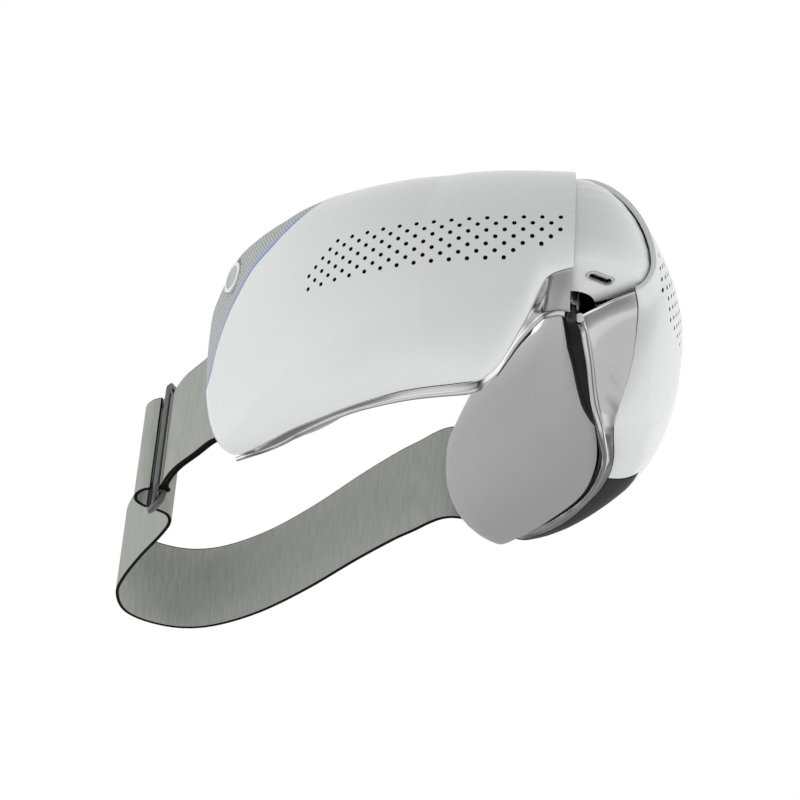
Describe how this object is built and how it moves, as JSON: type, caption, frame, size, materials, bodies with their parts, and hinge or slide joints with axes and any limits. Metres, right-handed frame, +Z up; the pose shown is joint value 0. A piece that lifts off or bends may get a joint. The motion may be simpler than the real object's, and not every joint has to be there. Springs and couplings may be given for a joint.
{
  "type": "eye massager",
  "caption": "Foldable wrap-around eye massager with perforated shells, padded cushions, a bright nose rim, a charging socket under the centre, and an elastic head strap with a wire buckle.",
  "frame": {"origin": "on the fold axis between the two halves, at eye level, where the face carries the part", "axes": "+Z up, the front faces -Y, the wearer's head is on +Y and the wearer's left is +X"},
  "size_m": [0.1569, 0.3655, 0.088],
  "materials": {
    "white_gloss": "glossy",
    "bright_chrome": "polished",
    "black_housing": "satin",
    "cushion_skin": "soft matte",
    "air_cell": "matte",
    "heater_film": "satin",
    "steel": "brushed",
    "black_parts": "matte",
    "panel_fabric": "ribbed weave",
    "blue_light": "clear, lit from inside",
    "black_rubber": "matte",
    "hinge_black": "satin",
    "white_button": "satin",
    "grey_button": "satin",
    "circuit_board": "satin",
    "battery_wrap": "satin",
    "strap_fabric": "woven elastic",
    "socket_plastic": "satin",
    "flex_film": "satin",
    "dark_wire": "dark plated"
  },
  "bodies": {
    "right_half": {"right_shell": "white_gloss", "right_nose_wall": "bright_chrome", "right_frame": "black_housing", "right_trim_ring": "bright_chrome", "right_cushion": "cushion_skin", "right_airbag": "air_cell", "right_heat_plate": "heater_film", "right_motor": "steel", "right_speaker": "black_parts", "right_side_panel": "panel_fabric", "right_light_strip": "blue_light", "right_hose": "black_rubber", "right_hinge_arm": "bright_chrome", "right_strap_anchor": "black_parts", "right_screws": "steel", "button_ring": "white_button", "button_switch": "black_parts", "main_board": "circuit_board", "air_pump": "steel", "air_valve": "black_parts", "hinge_pin": "hinge_black", "strap_short": "strap_fabric"},
    "left_half": {"left_shell": "white_gloss", "left_nose_wall": "bright_chrome", "left_frame": "black_housing", "left_trim_ring": "bright_chrome", "left_cushion": "cushion_skin", "left_airbag": "air_cell", "left_heat_plate": "heater_film", "left_motor": "steel", "left_speaker": "black_parts", "left_side_panel": "panel_fabric", "left_light_strip": "blue_light", "left_hose": "black_rubber", "left_hinge_arm": "bright_chrome", "left_strap_anchor": "black_parts", "left_screws": "steel", "left_battery_cover": "black_housing", "battery": "battery_wrap", "battery_board": "circuit_board", "strap_long": "strap_fabric"},
    "centre": {"spine_cover": "white_gloss", "usb_socket": "steel", "socket_ring": "socket_plastic", "port_board": "circuit_board", "flex_cable": "flex_film"},
    "button": {"power_button": "grey_button"},
    "strap_buckle": {"buckle": "dark_wire"}
  },
  "joints": [
    {"name": "fold", "type": "hinge", "parent": "right_half", "child": "left_half", "pos_m": [0, 0, 0], "axis": [0, 0, 1], "range_deg": [-68.5, 24], "deforming": ["strap_long"]},
    {"name": "centre_turn", "type": "hinge", "parent": "right_half", "child": "centre", "pos_m": [0, 0, 0], "axis": [0, 0, 1], "range_deg": [-34.3, 12.1]},
    {"name": "button_press", "type": "slide", "parent": "right_half", "child": "button", "axis": [0.998, -0.0374, -0.0517], "range_m": [0, 0.0008], "stiffness_N_per_m": 1200, "springref_m": -0.0005},
    {"name": "buckle_swing", "type": "hinge", "parent": "right_half", "child": "strap_buckle", "pos_m": [-0.0595, 0.189, -0.01], "axis": [0, 0, 1], "range_deg": [-12, 12]}
  ],
  "couplings": [
    {"joint": "centre_turn", "follows": "fold", "ratio": 0.5}
  ]
}
